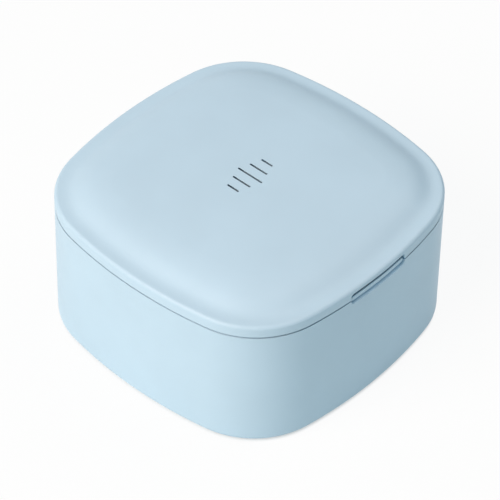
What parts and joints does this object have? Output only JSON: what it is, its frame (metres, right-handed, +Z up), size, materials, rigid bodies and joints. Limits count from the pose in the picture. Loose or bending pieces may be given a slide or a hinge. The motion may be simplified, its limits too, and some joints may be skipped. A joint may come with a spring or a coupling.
{
  "type": "denture case",
  "caption": "Rounded-square denture soaking case with a hinged lid, push-button latch, watertight tub and lift-out strainer basket.",
  "frame": {"origin": "the middle of the case's bounding box, in the plane that its four feet stand on", "axes": "+Z up, out of the lid; -Y towards the front wall with the latch button; +Y towards the hinge; +X to the right seen from the front"},
  "size_m": [0.092, 0.0928, 0.048],
  "materials": {
    "shell_plastic": "satin, pale blue-grey",
    "tub_plastic": "smooth, off-white",
    "basket_plastic": "satin, white",
    "gasket_silicone": "matt silicone, pale grey",
    "mirror_glass": "polished",
    "pin_steel": "bright stainless",
    "leaf_plastic": "smooth acetal, off-white",
    "foot_rubber": "matt, pale grey"
  },
  "bodies": {
    "case": {"base_shell": "shell_plastic", "inner_tub": "tub_plastic", "basket": "basket_plastic", "hinge_pin": "pin_steel", "latch_leaf": "leaf_plastic", "latch_screw_left": "pin_steel", "latch_screw_right": "pin_steel", "tub_screw_front_left": "pin_steel", "tub_screw_front_right": "pin_steel", "tub_screw_rear_left": "pin_steel", "tub_screw_rear_right": "pin_steel", "foot_front_left": "foot_rubber", "foot_front_right": "foot_rubber", "foot_rear_left": "foot_rubber", "foot_rear_right": "foot_rubber"},
    "lid": {"lid_shell": "shell_plastic", "lid_liner": "tub_plastic", "lid_gasket": "gasket_silicone", "lid_mirror": "mirror_glass"},
    "button": {"latch_button": "shell_plastic"}
  },
  "joints": [
    {"name": "lid_hinge", "type": "hinge", "parent": "case", "child": "lid", "pos_m": [0, 0.0444, 0.0385], "axis": [-1, 0, 0], "range_deg": [0, 110], "deforming": ["latch_leaf"]},
    {"name": "latch_press", "type": "slide", "parent": "case", "child": "button", "axis": [0, 1, 0], "range_m": [0, 0.0012], "stiffness_N_per_m": 900, "springref_m": -0.0008, "deforming": ["latch_leaf"]}
  ]
}
